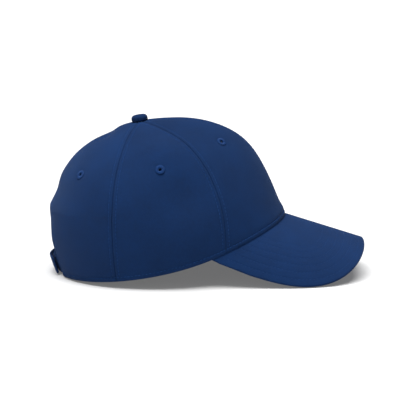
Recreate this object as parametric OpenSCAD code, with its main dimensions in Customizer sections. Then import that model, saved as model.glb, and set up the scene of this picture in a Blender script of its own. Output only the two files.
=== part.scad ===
// Baseball cap: six crown panels, a curved visor, a sweatband and a hook-and-loop strap.
// +X points to the tip of the visor, +Y to the wearer's left and +Z up. The cap rests on
// its rear hem and on the two side edges of its visor, and Z = 0 is what it rests on.

/* [Head opening] */
// X of the front of the hem
front_x = 68.4; // [64:0.2:72]
// Half length of the hem's oval
rim_a = 98; // [94:1:102]
// Half width of the hem's oval
rim_b = 78; // [74:1:82]
// How much narrower the oval is at the front than at the back
rim_egg = 0.05; // [0:0.01:0.08]
// How soon the hem comes down to the table behind the visor
hem_drop = 2.6; // [2:0.1:3.2]

/* [Crown] */
// X of the button
apex_x = -56.8; // [-62:0.1:-54]
// Height of the crown under the button
apex_z = 131; // [126:0.5:136]
// Backward tilt of the crown under the button
button_tilt = 8.7; // [6:0.1:12]
// Outward lean of the cloth at the hem: front, side and rear
lean = [-0.48, 0.22, 0.36]; // [-0.6:0.01:0.5]
// Fullness of the lower half of the crown: front, side and rear
low_fill = [0.53, 0.74, 0.735]; // [0.45:0.005:0.8]
// Fullness of the upper half of the crown: front, side and rear
top_fill = [0.82, 0.49, 0.435]; // [0.4:0.005:0.85]
// How quickly the front and the rear shape give way to the side shape
spread = [1.65, 1.3]; // [1.2:0.05:2]
// Direction of the seam between the front and side panels at the hem, from the front
front_seam = 62; // [60:1:65]
// How far that seam sweeps back at the button
seam_sweep = 22; // [10:1:26]
// Direction of the seam between the side and rear panels, from the front
rear_seam = 117.3; // [114:0.5:120]

/* [Cloth] */
// Thickness of the crown cloth
cloth_t = 0.8; // [0.6:0.1:1]
// Clearance between two layers of cloth
layer_gap = 0.4; // [0.3:0.1:0.6]
// Clearance between two panels at a seam
seam_gap = 0.4; // [0.3:0.1:0.6]
// Thickness of the stiff buckram in the front panels
buckram_t = 0.8; // [0.6:0.1:1]
// Width of the tapes that cover the seams inside
tape_w = 18; // [14:1:20]
// Thickness of a seam tape
tape_t = 0.7; // [0.5:0.1:0.8]
// Height of the sweatband
band_h = 35; // [30:1:38]
// Thickness of the sweatband's face cloth
band_t = 0.9; // [0.7:0.1:1.1]
// Thickness of the sweatband's padding
padding_t = 0.8; // [0.6:0.1:1]

/* [Visor] */
// Height of the middle of the visor where it meets the crown
front_z = 49.6; // [47:0.1:52]
// Downward slope of the visor's centre line
visor_tilt = 17.5; // [14:0.5:21]
// Radius of the curve of the visor across its width
visor_r = 81; // [78:1:85]
// Length of the visor along its centre line
visor_l = 72; // [68:1:76]
// Half width of the flat visor
visor_w = 90.7; // [89:0.1:93]
// Where the flat visor is widest, from the middle of the crown seam
visor_wide = -18.7; // [-22:0.1:-14]
// Squareness of the flat visor's outline
visor_square = 2.9; // [2.6:0.1:3.2]
// Direction of the visor's side ends, from the front
visor_end = 69; // [67:0.5:71]
// Thickness of the visor board
board_t = 1.8; // [1.5:0.1:2.2]
// Thickness of the visor's cloth
visor_cloth_t = 0.5; // [0.4:0.1:0.7]

/* [Button and eyelets] */
// Diameter of the covered button
button_d = 14; // [12:0.5:16]
// Height of the covered button
button_h = 5.6; // [4.6:0.2:6]
// Outer diameter of an eyelet
eyelet_d = 8; // [7:0.5:9]
// Diameter of the hole in an eyelet
eyelet_bore = 2.6; // [2:0.2:3.4]
// Direction of the eyelets in the front, side and rear panels, from the front
eyelet_turn = [36.5, 91, 144.5]; // [30:0.5:150]
// Height of the eyelets along the panels, from 0 at the hem to 1 at the button
eyelet_rise = [0.586, 0.473, 0.463]; // [0.4:0.001:0.65]

/* [Rear opening and strap] */
// Half width of the rear opening, as an angle about the crown
arch_turn = 19.5; // [17:0.5:22]
// Height of the rear opening, from 0 at the hem to 1 at the button
arch_rise = 0.255; // [0.22:0.005:0.28]
// Width of the tape that binds the rear opening
arch_tape_w = 9; // [7:1:11]
// Width of the strap
strap_w = 16; // [15:0.5:17]
// Thickness of the strap, which is folded cloth
strap_t = 1.4; // [1.2:0.1:1.6]
// How far the top edge of the strap stands out behind the crown
strap_flare = 1; // [0.6:0.1:2]
// Thickness of the hook tape and of the loop tape
touch_t = 0.9; // [0.7:0.1:1.1]

/* [Hidden] */

navy = [0.11, 0.17, 0.31];
white = [0.85, 0.85, 0.83];
steel = [0.70, 0.71, 0.73];
apex = [apex_x, 0, apex_z];
rim_x = front_x - rim_a;
eyelet_hole_d = 4.4;    // hole in the cloth for an eyelet's tube
crown_hole = 4.6;       // radius of the hole at the top, where the six panels meet
panel_cols = 10;
panel_rows = 20;
arch_rows = 7;
small = 0.01;

// ---- Crown surface. t turns from 0 at the front to 180 at the back, and v rises from
// ---- 0 at the hem to 1 at the hole under the button.

function plan(t) = [rim_x + rim_a * cos(t), rim_b * sin(t) * (1 - rim_egg * cos(t))];

// Upper face of the visor: a cylinder that lies along X and tips down to the front
function visor_z(p) = front_z - (p.x - front_x) * tan(visor_tilt)
    - (visor_r - sqrt(visor_r^2 - p.y^2)) / cos(visor_tilt);

// The hem follows the visor at the front, then comes down to the table
function rim_z(t) = let (behind = abs(180 - abs(t))) behind >= 180 - visor_end
    ? visor_z(plan(t))
    : visor_z(plan(visor_end)) * (behind / (180 - visor_end))^hem_drop;

// A value that changes from the front by the side to the rear
function around(t, at) = cos(t) > 0
    ? at[1] + (at[0] - at[1]) * cos(t)^spread[0]
    : at[1] + (at[2] - at[1]) * (-cos(t))^spread[1];

function rim_point(t) = [plan(t).x, plan(t).y, rim_z(t)];

// Direction and reach of a meridian at its top end
function top_handle(t) = let (run = rim_point(t) - apex)
    [run.x, run.y, tan(button_tilt) * run.x] * around(t, top_fill);

function meridian(t, s) = let (
    p0 = rim_point(t),
    rise = [cos(t) * around(t, lean), sin(t) * around(t, lean), 1],
    p1 = p0 + rise / norm(rise) * (apex_z - p0.z) * around(t, low_fill),
    p2 = apex + top_handle(t)
) (1 - s)^3 * p0 + 3 * (1 - s)^2 * s * p1 + 3 * (1 - s) * s^2 * p2 + s^3 * apex;

function crown(t, v) = meridian(t, v * (1 - crown_hole / (3 * norm(top_handle(t)))));

function unit(a) = a / norm(a);
function along(t, v) = unit(crown(t, v + small) - crown(t, v - small));
function across(t, v) = unit(crown(t + small, v) - crown(t - small, v));
function outward(t, v) = unit(cross(across(t, v), along(t, v)));

// Point at a height h above the outer face of the crown
function skin(t, v, h) = crown(t, v) + outward(t, v) * h;

// Angle about the crown that is mm long at one height, and rise that is mm long there
function turn(t, v, mm) = mm / norm(crown(t + 0.5, v) - crown(t - 0.5, v));
function rise(t, v, mm) = mm * 0.02 / norm(crown(t, v + 0.01) - crown(t, v - 0.01));

// ---- Sheets

// Closed solid between two grids of points with the same layout
module slab(outer, inner) {
    last_r = len(outer) - 1;
    last_c = len(outer[0]) - 1;
    function o(r, c) = r * (last_c + 1) + c;
    function i(r, c) = o(r, c) + (last_r + 1) * (last_c + 1);
    function quad(a, b, c, d) = [[a, b, c], [a, c, d]];
    polyhedron(
        points = concat([for (row = outer) each row], [for (row = inner) each row]),
        faces = concat(
            [for (r = [0:last_r - 1], c = [0:last_c - 1])
                each quad(o(r, c), o(r + 1, c), o(r + 1, c + 1), o(r, c + 1))],
            [for (r = [0:last_r - 1], c = [0:last_c - 1])
                each quad(i(r, c), i(r, c + 1), i(r + 1, c + 1), i(r + 1, c))],
            [for (c = [0:last_c - 1])
                each quad(o(0, c), o(0, c + 1), i(0, c + 1), i(0, c))],
            [for (c = [0:last_c - 1])
                each quad(o(last_r, c + 1), o(last_r, c), i(last_r, c), i(last_r, c + 1))],
            [for (r = [0:last_r - 1])
                each quad(o(r + 1, 0), o(r, 0), i(r, 0), i(r + 1, 0))],
            [for (r = [0:last_r - 1])
                each quad(o(r, last_c), o(r + 1, last_c), i(r + 1, last_c), i(r, last_c))]),
        convexity = 6);
}

// Layer of the crown from one edge to another, at a depth below the outer face
module layer(levels, from, to, cols, depth, thick) {
    function grid(h) = [for (v = levels) [for (c = [0:cols])
        skin(from(v) + (to(v) - from(v)) * c / cols, v, h)]];
    slab(grid(-depth), grid(-depth - thick));
}

function even(low, high, count) = [for (k = [0:count]) low + (high - low) * k / count];
all_levels = even(0, 1, panel_rows);

// The same shape on the wearer's right
module right() { mirror([0, 1, 0]) children(); }

// Places children on the crown with +Z outward
module on_crown(t, v, h = 0) {
    n = outward(t, v);
    translate(skin(t, v, h)) rotate([0, acos(n.z), atan2(n.y, n.x)]) children();
}

// ---- Crown panels

module eyelet_hole(k, d) {
    on_crown(eyelet_turn[k], eyelet_rise[k]) cylinder(h = 12, d = d, center = true, $fn = 32);
}

// Direction of the front side seam at one height, moved by mm towards the back
function side_seam(v, mm) = let (t = front_seam + seam_sweep * v^3) t + turn(t, v, mm);

module front_panel() {
    difference() {
        layer(all_levels, function(v) turn(1, v, seam_gap / 2),
            function(v) side_seam(v, -seam_gap / 2), panel_cols, 0, cloth_t);
        eyelet_hole(0, eyelet_hole_d);
    }
}

module side_panel() {
    difference() {
        layer(all_levels, function(v) side_seam(v, seam_gap / 2),
            function(v) rear_seam - turn(rear_seam, v, seam_gap / 2), panel_cols, 0, cloth_t);
        eyelet_hole(1, eyelet_hole_d);
    }
}

// Half width of the rear opening at one height
function arch(v) = arch_turn * sqrt(max(0, 1 - (v / arch_rise)^2));
// Levels that follow the rear opening evenly round its curve, then the rest of the panel
rear_levels = concat([for (k = [0:arch_rows]) arch_rise * sin(90 * k / arch_rows)],
    [for (k = [1:panel_rows - arch_rows]) arch_rise + (1 - arch_rise) * k / (panel_rows - arch_rows)]);

module rear_panel() {
    difference() {
        layer(rear_levels, function(v) rear_seam + turn(rear_seam, v, seam_gap / 2),
            function(v) 180 - max(arch(v), turn(179, v, seam_gap / 2)), panel_cols, 0, cloth_t);
        eyelet_hole(2, eyelet_hole_d);
    }
}

module front_panel_left() { color(navy) front_panel(); }
module front_panel_right() { color(navy) right() front_panel(); }
module side_panel_left() { color(navy) side_panel(); }
module side_panel_right() { color(navy) right() side_panel(); }
module rear_panel_left() { color(navy) rear_panel(); }
module rear_panel_right() { color(navy) right() rear_panel(); }

// ---- Layers inside the crown, from the outside in

band_gap = 0.3;                             // between the padding and the face cloth
inner_1 = cloth_t + layer_gap;              // buckram, and tapes with no buckram behind
inner_2 = inner_1 + buckram_t + layer_gap;  // tapes over the buckram
inner_3 = inner_2 + tape_t + layer_gap;     // sweatband padding
inner_4 = inner_3 + padding_t + band_gap;   // sweatband face cloth
seam_allowance = 1.5;                       // buckram stops this far from the seams

buckram_gap = 0.6;      // from an eyelet to the edge of the buckram
buckram_ends = [0.05, 0.95];    // heights between which the buckram runs
module buckram() {
    difference() {
        layer(even(buckram_ends[0], buckram_ends[1], panel_rows - 2), function(v) turn(1, v, seam_allowance),
            function(v) side_seam(v, -seam_allowance), panel_cols, inner_1, buckram_t);
        eyelet_hole(0, eyelet_d + 2 * buckram_gap);
    }
}

module buckram_left() { color(white) buckram(); }
module buckram_right() { color(white) right() buckram(); }

// Tape along a seam, narrower near the button where the seams meet
module seam_tape(seam, low, depth) {
    function half(v) = min(turn(seam(v), v, tape_w / 2), tape_turn);
    layer([for (v = all_levels) if (v >= low && v < tape_high) v],
        function(v) seam(v) - half(v), function(v) seam(v) + half(v), tape_cols, depth, tape_t);
}

tape_cols = 3;
tape_turn = 20;         // most that half a tape turns about the crown near the button
tape_low = 0.05;        // the seam tapes run down between the wall and the sweatband
tape_high = 0.96;       // and under the button's washer
arch_tape_low = 0.1;    // the rear seam's tape starts this far above the rear opening
module front_seam_tape() { color(white) seam_tape(function(v) 0, tape_low, inner_2); }
module front_side_tape() { seam_tape(function(v) side_seam(v, 0), tape_low, inner_2); }
module rear_side_tape() { seam_tape(function(v) rear_seam, tape_low, inner_1); }
module front_side_tape_left() { color(white) front_side_tape(); }
module front_side_tape_right() { color(white) right() front_side_tape(); }
module rear_side_tape_left() { color(white) rear_side_tape(); }
module rear_side_tape_right() { color(white) right() rear_side_tape(); }
module rear_seam_tape() { color(white) seam_tape(function(v) 180, arch_rise + arch_tape_low, inner_1); }

// Tape round the rear opening, from the hem on one side to the hem on the other
ring_steps = 24;
ring_foot = 0.004;      // rise of the tape's two ends above the hem
ring_edge = 0.3;        // from the edge of the opening to the edge of the tape
module arch_tape() {
    function ring(grow, h) = [for (k = [0:ring_steps]) let (
        a = 180 * k / ring_steps,
        v = sin(a) * (arch_rise + rise(180, arch_rise, grow)),
        t = 180 - cos(a) * (arch_turn + turn(180, arch_rise / 2, grow)))
        skin(t, v + ring_foot, h)];
    color(navy) slab([ring(ring_edge, -inner_1), ring(arch_tape_w, -inner_1)],
        [ring(ring_edge, -inner_1 - tape_t), ring(arch_tape_w, -inner_1 - tape_t)]);
}

// Sweatband, from one side of the rear opening round the front to the other
band_cols = 24;
band_rows = 3;
band_foot = 0.012;      // rise of the band's lower edge above the hem
band_stop = 3;          // from the band's ends to the tape round the rear opening
module band(depth, thick) {
    stop = 180 - arch_turn - turn(180 - arch_turn, 0, arch_tape_w + band_stop);
    function grid(h) = [for (r = [0:band_rows]) [for (c = [-band_cols:band_cols])
        let (t = stop * c / band_cols)
        skin(t, (r / band_rows) * rise(t, 0.1, band_h) + band_foot, h)]];
    slab(grid(-depth), grid(-depth - thick));
}

module sweatband() { color(navy) band(inner_4, band_t); }
module sweatband_padding() { color(white) band(inner_3, padding_t); }

// ---- Eyelets: a flange on each side of the cloth and a tube through it

module eyelet(k) {
    flange_r = eyelet_d / 2;
    back_r = flange_r - 0.6;
    tube_r = eyelet_hole_d / 2 - 0.15;
    bore_r = eyelet_bore / 2;
    top = 0.8;
    under = 0.25;
    back = -cloth_t - 0.35;
    back_t = 0.4;
    bevel = 0.4;
    on_crown(eyelet_turn[k], eyelet_rise[k]) rotate_extrude($fn = 48) polygon([
        [bore_r, back - back_t], [back_r, back - back_t], [back_r, back],
        [tube_r, back], [tube_r, under], [flange_r, under],
        [flange_r - bevel / 2, top - bevel / 2], [flange_r - 2 * bevel, top],
        [bore_r + bevel, top], [bore_r, top - bevel]]);
}

module eyelet_front_left() { color(navy) eyelet(0); }
module eyelet_front_right() { color(navy) right() eyelet(0); }
module eyelet_side_left() { color(navy) eyelet(1); }
module eyelet_side_right() { color(navy) right() eyelet(1); }
module eyelet_rear_left() { color(navy) eyelet(2); }
module eyelet_rear_right() { color(navy) right() eyelet(2); }

// ---- Button at the top of the crown

module at_button() { translate(apex) rotate([0, -button_tilt, 0]) children(); }

cover_t = 0.6;          // cloth and its folds
fold_w = 2;             // width of the cloth that is turned under the button
shoulder_r = 3.2;       // round edge of the button
steel_t = 0.7;          // shell, plate and washer
pin_r = 1.5;
pin_l = 2.2;            // how far the pin goes past the innermost tape
plate_z = 1.5;          // height of the plate inside the shell
washer_rim = 2.4;       // how far the washer reaches past the hole in the crown
button_gap = 0.1;       // between the cloth and the shell
shell_r = button_d / 2 - cover_t - button_gap;
shell_top = button_h - cover_t - button_gap;

// Side view of a low dome: flat in the middle and round at the shoulder
module dome(r, top, shoulder) {
    intersection() {
        union() {
            translate([r - shoulder, top - shoulder]) circle(shoulder, $fn = 48);
            square([r - shoulder, top]);
            square([r, top - shoulder]);
        }
        square([r, top]);
    }
}

module button_cover() {
    color(navy) at_button() rotate_extrude($fn = 64) {
        difference() {
            dome(button_d / 2, button_h, shoulder_r);
            translate([0, cover_t])
                dome(button_d / 2 - cover_t, button_h - 2 * cover_t, shoulder_r - cover_t);
            translate([-small, -small]) square([button_d / 2 - fold_w, 2 * cover_t]);
        }
    }
}

module button_shell() {
    color(steel) at_button() rotate_extrude($fn = 64) {
        difference() {
            translate([0, plate_z - button_gap])
                dome(shell_r, shell_top - plate_z + button_gap, shoulder_r - steel_t - button_gap);
            translate([-small, plate_z - 2 * button_gap])
                dome(shell_r - steel_t, shell_top - plate_z - steel_t + 2 * button_gap,
                    shoulder_r - 2 * steel_t);
        }
    }
}

// Plate inside the button with a pin that goes down through the crown
module button_pin() {
    plate_r = shell_r - 1;
    color(steel) at_button() rotate_extrude($fn = 48)
        polygon([[0, -inner_3 - pin_l], [pin_r, -inner_3 - pin_l], [pin_r, plate_z],
            [plate_r, plate_z], [plate_r, plate_z + steel_t], [0, plate_z + steel_t]]);
}

// Washer that holds the pin inside the crown
module button_washer() {
    color(steel) at_button() translate([0, 0, -inner_3 - pin_l + 0.4]) difference() {
        cylinder(h = steel_t, r = crown_hole + washer_rim, $fn = 48);
        translate([0, 0, -1]) cylinder(h = 3, r = pin_r + 0.05, $fn = 48);
    }
}

// ---- Visor. p is measured across the flat visor and q forward from the crown seam.

visor_cols = 32;
visor_rows = 8;
join_gap = 0.5;         // between the crown and the visor's cloth
board_gap = 0.2;        // between the board and the cloth on each side
board_margin = 1.2;     // from the edge of the cloth to the edge of the board
lining = visor_cloth_t + 0.1;   // from the cloth's outer edge to its inner edge
lip_gap = 0.1;          // half the gap where the two cloths meet at the edge
side_trim = 0.008;      // share trimmed off the width for each mm of margin
under_face = -2 * (visor_cloth_t + board_gap) - board_t;
mid_face = under_face / 2;

// Point of the flat visor when it is bent, at a height h above its upper face
function bend(p, q, h) = let (a = p / visor_r * 180 / PI, r = visor_r + h) [
    front_x + q * cos(visor_tilt) - (visor_r - r * cos(a)) * sin(visor_tilt),
    r * sin(a),
    front_z - q * sin(visor_tilt) - (visor_r - r * cos(a)) * cos(visor_tilt)];

// Point of the flat visor under the hem at direction t
function seam_edge(t) = let (xy = plan(t), a = asin(xy.y / visor_r)) [
    a * PI / 180 * visor_r,
    ((xy.x - front_x) + visor_r * (1 - cos(a)) * sin(visor_tilt)) / cos(visor_tilt)];

// Outer edge, from 0 at the tip to 1 or -1 at a side end
side_share = 0.2;       // share of the edge that is a straight side end
side_step = [0.8, 5];   // from the hem to the corner of the side end
function outer_edge(u) = let (
    a = 90 * (1 - min(1, abs(u) / (1 - side_share))),
    n = visor_square,
    r = ((cos(a) / visor_w)^n + (sin(a) / (visor_l - visor_wide))^n)^(-1 / n),
    widest = [r * cos(a), visor_wide + r * sin(a)],
    end = seam_edge(visor_end) + side_step,
    back = max(0, (abs(u) - 1 + side_share) / side_share),
    point = widest + (end - [visor_w, visor_wide]) * back
) [sign(u) * point.x, point.y];

// Flat point at a share w of the way from the crown seam to the outer edge, moved in by
// a margin in mm at both edges
function visor_flat(u, w, margin) = let (
    a = seam_edge(u * visor_end),
    b = outer_edge(u),
    d = norm(b - a),
    ahead = unit(b - a)
) a + ahead * (join_gap + margin + (d - join_gap - 2 * margin) * w);

function visor_face(margin, h) = [for (r = [0:visor_rows]) [for (c = [-visor_cols:2:visor_cols])
    let (f = visor_flat(-c / visor_cols * (1 - margin * side_trim), r / visor_rows, margin))
    bend(f.x, f.y, h)]];

// One more row that turns the edge of the cloth over the edge of the board
function lip(margin, h) = [[for (c = [-visor_cols:2:visor_cols])
    let (f = visor_flat(-c / visor_cols * (1 - margin * side_trim), 1, margin)) bend(f.x, f.y, h)]];

module visor_board() {
    top = -visor_cloth_t - board_gap;
    color(white) slab(visor_face(board_margin, top), visor_face(board_margin, top - board_t));
}

module visor_top_cloth() {
    color(navy) slab(concat(visor_face(0, 0), lip(0, mid_face + lip_gap)),
        concat(visor_face(lining, -visor_cloth_t), lip(lining, mid_face + lip_gap)));
}

module visor_under_cloth() {
    color(navy) slab(
        concat(visor_face(lining, under_face + visor_cloth_t), lip(lining, mid_face - lip_gap)),
        concat(visor_face(0, under_face), lip(0, mid_face - lip_gap)));
}

// ---- Strap. The hook strap is sewn outside the left rear panel and the loop strap
// ---- inside the right one, and they lap behind the rear opening.

strap_low = 1.5;        // clearance between the strap's lower edge and the hem
strap_rows = 3;
strap_step = 5;         // length of one facet along a strap
strap_root = 27;        // where both straps leave the rear panels
strap_fold = 5;         // where the hook strap's end bends back
strap_tip = -21;        // free end of the hook strap
lap_y = 15;             // the loop strap ends just short of this
turn_in_y = -20;        // where the loop strap starts to pass inside the right rear panel
lap_depth = 1.2;        // how far the loop strap's outer face lies inside the crown's line
base_l = 10.5;          // length of strap that is sewn to a rear panel
fold_gap = 2;           // half the room that a fold leaves between two parts of a strap
strap_level = 0.03;     // height at which lengths round the strap are measured
base_gap = 0.25;        // between the hook strap and the panel it is sewn to
touch_gap = 0.1;        // between a strap and its tape
mesh_gap = 0.15;        // between the hooks and the loops
touch_inset = 1.2;      // from the strap's edge to the tape's edge
touch_end = 1.5;        // from the end of a strap to the end of its tape
lap_gap = 1;            // from the end of the loop strap to the place where the lap starts
loop_depth = inner_1 + tape_t + layer_gap;
loop_tape_face = touch_gap + touch_t - lap_depth;
hook_tape_face = loop_tape_face + mesh_gap + touch_t;
hook_face = hook_tape_face + touch_gap + strap_t;
base_face = base_gap + strap_t;

// Point of a strap: y across the cap, w along the strap's width, h above the crown.
// Its upper edge stands out further in the middle of the rear opening.
function strap_point(y, w, h) = let (
    t = 180 - turn(180, strap_level, y),
    v = rise(t, strap_level, strap_low + w),
    half = arch_turn / turn(180, strap_level, 1),
    flare = strap_flare * max(0, 1 - (y / half)^2) * w / strap_w
) skin(t, v, h + flare);

// Height of the hook strap's outer face: it climbs over the end of the loop strap
function hook_level(y) = base_face
    + (hook_face - base_face) * min(1, max(0, (strap_root - y) / (strap_root - lap_y)));
// Height of the loop strap's outer face: it comes out from inside the right rear panel
function loop_level(y) = -lap_depth
    - (loop_depth - lap_depth) * min(1, max(0, (turn_in_y - y) / (turn_in_y + strap_root)));

// Length of strap from one place across the cap to the next, under a face that may slope
module strap_part(left, right, face, thick, inset = 0) {
    cols = max(2, round((left - right) / strap_step));
    function grid(drop) = [for (r = [0:strap_rows]) [for (c = [0:cols])
        let (y = left + (right - left) * c / cols)
        strap_point(y, inset + (strap_w - 2 * inset) * r / strap_rows, face(y) - drop)]];
    slab(grid(0), grid(thick));
}

module hook_strap_base() {
    color(navy) strap_part(strap_root + base_l, strap_root + fold_gap,
        function(y) base_face, strap_t);
}

module hook_strap_middle() {
    color(navy) strap_part(strap_root - fold_gap, strap_fold + fold_gap,
        function(y) hook_level(y), strap_t);
}

module hook_strap_end() {
    color(navy) strap_part(strap_fold - fold_gap, strap_tip, function(y) hook_level(y), strap_t);
}

module hook_tape() {
    color("dimgray") strap_part(strap_fold - fold_gap - touch_end, strap_tip + touch_end,
        function(y) hook_tape_face, touch_t, touch_inset);
}

module loop_strap_base() {
    color(navy) strap_part(-strap_root - fold_gap, -strap_root - base_l,
        function(y) -loop_depth, strap_t);
}

module loop_strap() {
    color(navy) strap_part(lap_y - lap_gap, -strap_root + fold_gap,
        function(y) loop_level(y), strap_t);
}

module loop_tape() {
    color("dimgray") strap_part(lap_y - lap_gap - touch_end, turn_in_y + lap_gap,
        function(y) loop_tape_face, touch_t, touch_inset);
}

front_panel_left();
front_panel_right();
side_panel_left();
side_panel_right();
rear_panel_left();
rear_panel_right();
buckram_left();
buckram_right();
front_seam_tape();
front_side_tape_left();
front_side_tape_right();
rear_side_tape_left();
rear_side_tape_right();
rear_seam_tape();
arch_tape();
sweatband();
sweatband_padding();
eyelet_front_left();
eyelet_front_right();
eyelet_side_left();
eyelet_side_right();
eyelet_rear_left();
eyelet_rear_right();
button_cover();
button_shell();
button_pin();
button_washer();
visor_board();
visor_top_cloth();
visor_under_cloth();
hook_strap_base();
hook_strap_middle();
hook_strap_end();
hook_tape();
loop_strap_base();
loop_strap();
loop_tape();
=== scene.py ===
import math

import bpy
import numpy as np
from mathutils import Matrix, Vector


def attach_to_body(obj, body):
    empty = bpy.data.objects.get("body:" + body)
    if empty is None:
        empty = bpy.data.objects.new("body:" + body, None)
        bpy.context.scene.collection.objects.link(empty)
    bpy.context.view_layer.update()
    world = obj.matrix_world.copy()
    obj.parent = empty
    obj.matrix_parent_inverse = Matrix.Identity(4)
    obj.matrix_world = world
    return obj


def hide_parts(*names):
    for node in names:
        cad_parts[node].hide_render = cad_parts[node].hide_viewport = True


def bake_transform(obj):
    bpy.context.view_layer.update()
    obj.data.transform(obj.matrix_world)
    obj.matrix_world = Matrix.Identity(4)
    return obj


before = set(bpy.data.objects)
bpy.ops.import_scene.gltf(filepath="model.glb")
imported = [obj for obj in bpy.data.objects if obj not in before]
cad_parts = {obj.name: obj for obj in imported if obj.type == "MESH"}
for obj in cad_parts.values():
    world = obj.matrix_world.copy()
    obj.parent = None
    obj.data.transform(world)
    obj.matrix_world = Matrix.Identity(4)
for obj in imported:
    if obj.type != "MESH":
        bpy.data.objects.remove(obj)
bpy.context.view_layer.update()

# ---- Sizes, in millimetres. Meshes are made in metres.

MM = 0.001

FRONT_X = 68.4
RIM_A = 98.0
RIM_B = 78.0
RIM_EGG = 0.05
RIM_X = FRONT_X - RIM_A
HEM_DROP = 2.6
APEX = np.array([-56.8, 0.0, 131.0])
BUTTON_TILT = math.radians(8.7)
LEAN = (-0.48, 0.22, 0.36)  # at the hem, at the front, side and rear
LOW_FILL = (0.53, 0.74, 0.735)
TOP_FILL = (0.82, 0.49, 0.435)
SPREAD = (1.65, 1.3)
FRONT_SEAM = 62.0
SEAM_SWEEP = 22.0
REAR_SEAM = 117.3
CROWN_HOLE = 4.6

CLOTH = 0.8  # thickness of the crown cloth
INNER_1 = 1.2  # depth of the buckram and of the plain tapes
INNER_2 = 2.4  # depth of the tapes over the buckram
INNER_3 = 3.5  # depth of the sweatband's padding
INNER_4 = 4.6  # depth of the sweatband's face
BUCKRAM = 0.8
TAPE = 0.7
TAPE_W = 18.0
BAND_H = 35.0
BAND = 0.9
PADDING = 0.8

FRONT_Z = 49.6
VISOR_TILT = math.radians(17.5)
VISOR_R = 81.0
VISOR_L = 72.0
VISOR_W = 90.7
VISOR_WIDE = -18.7
VISOR_SQUARE = 2.9
VISOR_END = 69.0
VISOR_CLOTH = 0.5
UNDER_FACE = -3.2

BUTTON_R = 7.0
BUTTON_H = 5.6
EYELET_R = 4.0
EYELET_BORE_R = 1.3
EYELETS = {"front": (36.5, 0.586), "side": (91.0, 0.473), "rear": (144.5, 0.463)}

ARCH_TURN = 19.5
ARCH_RISE = 0.255
ARCH_TAPE_W = 9.0
STRAP_W = 16.0
STRAP_T = 1.4
STRAP_FLARE = 1.0
STRAP_LOW = 1.5
STRAP_ROOT = 27.0
STRAP_FOLD = 5.0
STRAP_TIP = -21.0
STRAP_BASE = 10.5
LAP_Y = 15.0
TURN_IN_Y = -20.0
LAP_DEPTH = 1.2
LOOP_DEPTH = 2.3
LOOP_TAPE_FACE = -0.2
HOOK_TAPE_FACE = 0.85
HOOK_FACE = 2.35
TOUCH = 0.9

STITCH_OFF = 3.2  # from a seam to the topstitching beside it
HEM_STITCH = 4.0  # from the hem to the row of stitches above it
STITCH_PITCH = 3.1
STITCH_LEN = 2.2
THREAD_R = 0.17

SIDES = {"left": 1, "right": -1}


# ---- Crown surface. t turns from 0 at the front to 180 at the back, less than 0 on the
# ---- wearer's right. v rises from 0 at the hem to 1 at the hole under the button.

def length(a):
    return np.linalg.norm(a, axis=-1)


def unit(a):
    return a / np.maximum(length(a), 1e-9)[..., None]


def grids(*values):
    return np.broadcast_arrays(*(np.asarray(a, float) for a in values))


def plan(t):
    a = np.radians(t)
    return RIM_X + RIM_A * np.cos(a), RIM_B * np.sin(a) * (1 - RIM_EGG * np.cos(a))


def visor_z(x, y):
    sag = VISOR_R - np.sqrt(np.maximum(VISOR_R**2 - y**2, 0))
    return FRONT_Z - (x - FRONT_X) * math.tan(VISOR_TILT) - sag / math.cos(VISOR_TILT)


def rim_z(t):
    behind = np.abs(180 - np.abs(t))
    low = visor_z(*plan(VISOR_END)) * (behind / (180 - VISOR_END)) ** HEM_DROP
    return np.where(behind >= 180 - VISOR_END, visor_z(*plan(t)), low)


def around(t, at):
    """A value that changes from the front by the side to the rear."""
    c = np.cos(np.radians(t))
    front = at[1] + (at[0] - at[1]) * np.maximum(c, 0) ** SPREAD[0]
    rear = at[1] + (at[2] - at[1]) * np.maximum(-c, 0) ** SPREAD[1]
    return np.where(c > 0, front, rear)


def rim_point(t):
    x, y = plan(t)
    return np.stack([x, y, rim_z(t)], -1)


def top_handle(t):
    run = rim_point(t) - APEX
    reach = np.stack([run[..., 0], run[..., 1], math.tan(BUTTON_TILT) * run[..., 0]], -1)
    return reach * around(t, TOP_FILL)[..., None]


def crown(t, v):
    t, v = grids(t, v)
    handle = top_handle(t)
    s = (v * (1 - CROWN_HOLE / (3 * length(handle))))[..., None]
    p0 = rim_point(t)
    a = np.radians(t)
    lean = around(t, LEAN)
    rise_way = unit(np.stack([np.cos(a) * lean, np.sin(a) * lean, np.ones_like(a)], -1))
    p1 = p0 + rise_way * ((APEX[2] - p0[..., 2]) * around(t, LOW_FILL))[..., None]
    p2 = APEX + handle
    return (1 - s)**3 * p0 + 3 * (1 - s)**2 * s * p1 + 3 * (1 - s) * s**2 * p2 + s**3 * APEX


STEP = 0.01  # small change of t or v that slopes are taken over


def outward(t, v):
    t, v = grids(t, v)
    up = crown(t, v + STEP) - crown(t, v - STEP)
    across = crown(t + STEP, v) - crown(t - STEP, v)
    return unit(np.cross(across, up))


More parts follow.
